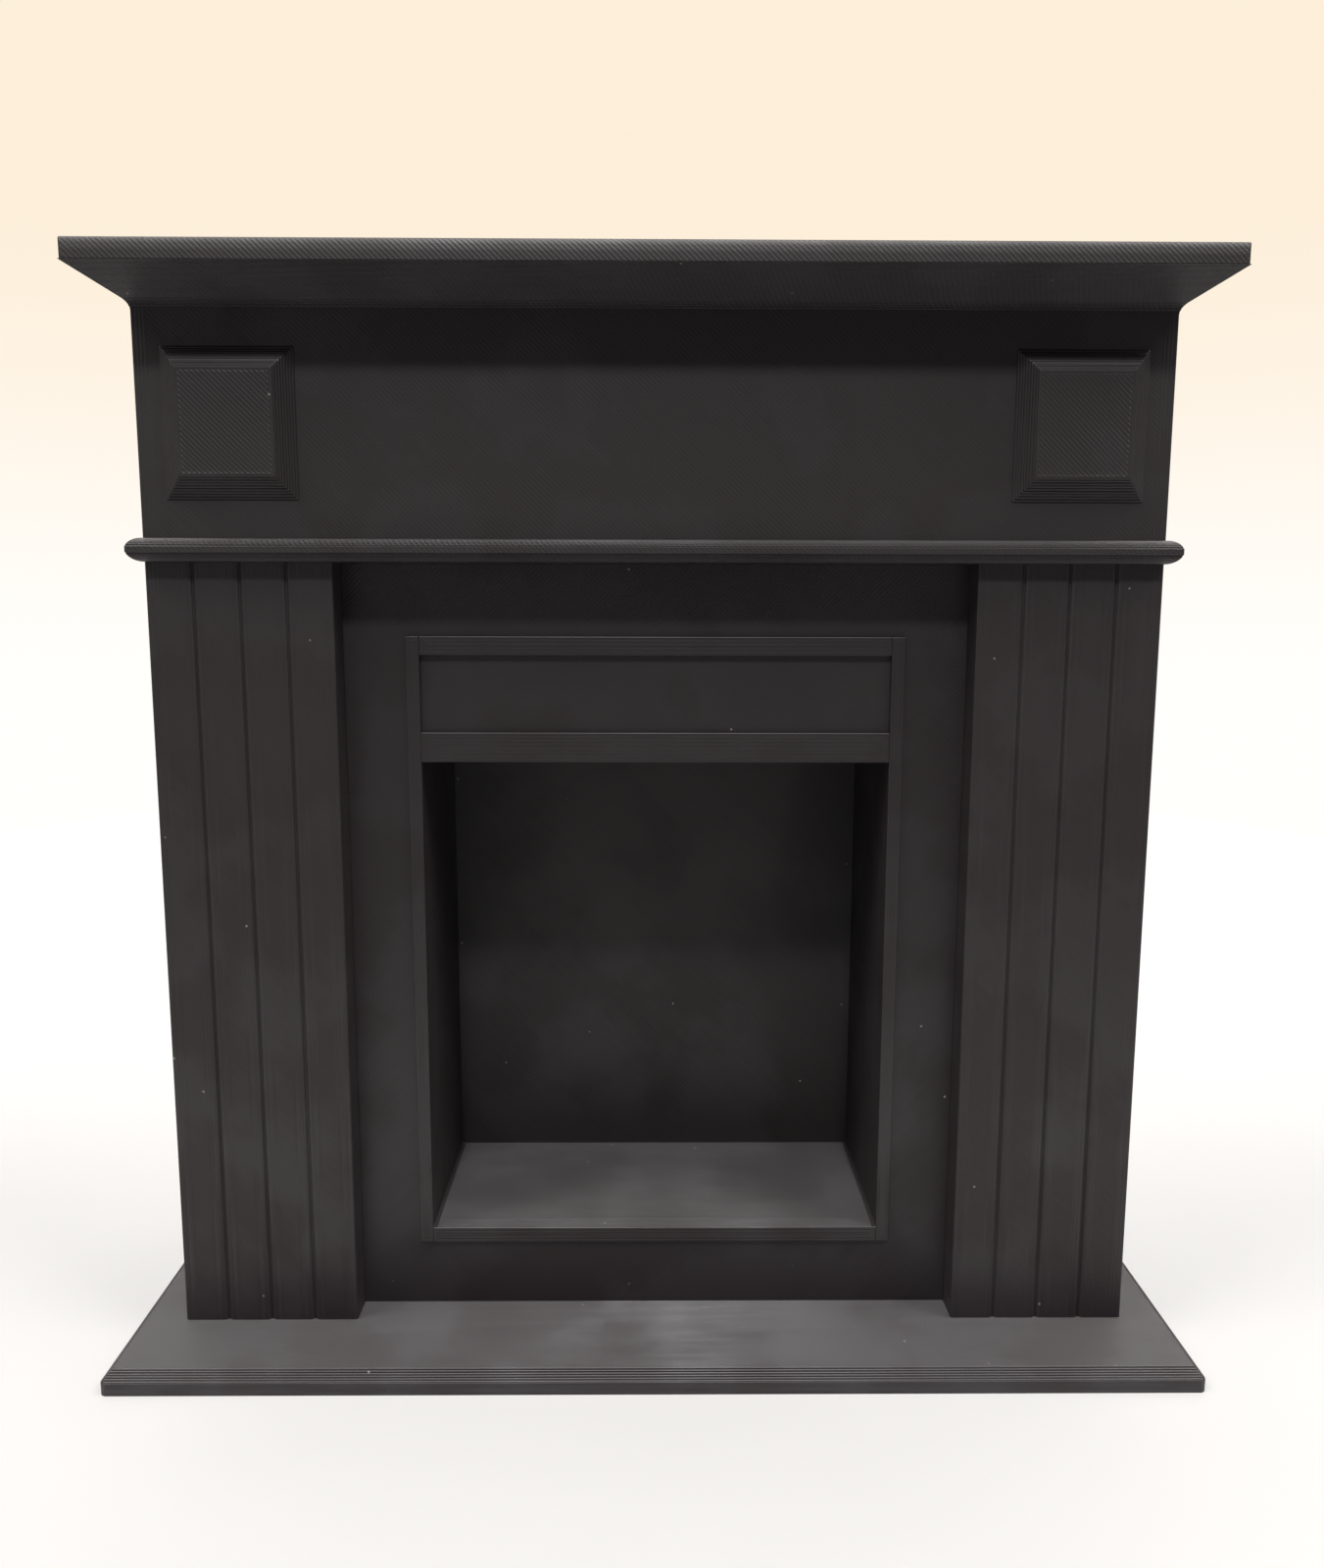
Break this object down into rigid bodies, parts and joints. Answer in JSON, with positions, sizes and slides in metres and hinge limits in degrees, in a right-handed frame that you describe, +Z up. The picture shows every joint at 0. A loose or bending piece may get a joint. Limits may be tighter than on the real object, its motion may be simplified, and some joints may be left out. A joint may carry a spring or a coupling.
{
  "type": "miniature fireplace mantel",
  "caption": "Dolls' house mantelpiece with a moulded shelf and crown, frieze with raised end blocks, fluted pilasters, framed open firebox and a chamfered hearth slab.",
  "frame": {"origin": "centre of the footprint, on the surface that the hearth rests on", "axes": "+X to the right of someone facing the fireplace, +Y towards the wall behind it, +Z up; the front faces -Y"},
  "size_m": [0.129, 0.0424, 0.1289],
  "materials": {
    "body_plastic": "satin black printed plastic, fine raster lines",
    "moulding_plastic": "satin black printed plastic, fine layer lines",
    "surround_plastic": "satin black printed plastic, fine raster lines",
    "hearth_plastic": "satin black printed plastic, fine layer lines",
    "firebox_plastic": "matt black printed plastic, fine layer lines"
  },
  "bodies": {
    "root": {"left_pilaster": "body_plastic", "right_pilaster": "body_plastic", "left_side_wall": "body_plastic", "right_side_wall": "body_plastic", "rear_panel": "body_plastic", "frieze_board": "body_plastic", "left_frieze_block": "moulding_plastic", "right_frieze_block": "moulding_plastic", "bead_front": "moulding_plastic", "bead_left_return": "moulding_plastic", "bead_right_return": "moulding_plastic", "crown_front": "moulding_plastic", "crown_left_return": "moulding_plastic", "crown_right_return": "moulding_plastic", "mantel_shelf": "moulding_plastic", "surround_panel": "surround_plastic", "frame_left_stile": "surround_plastic", "frame_right_stile": "surround_plastic", "frame_bottom_rail": "surround_plastic", "frame_mid_rail": "surround_plastic", "frame_top_rail": "surround_plastic", "hearth_slab": "hearth_plastic", "firebox_floor": "firebox_plastic", "firebox_ceiling": "firebox_plastic", "firebox_left_cheek": "firebox_plastic", "firebox_right_cheek": "firebox_plastic", "firebox_back": "firebox_plastic"}
  },
  "joints": []
}
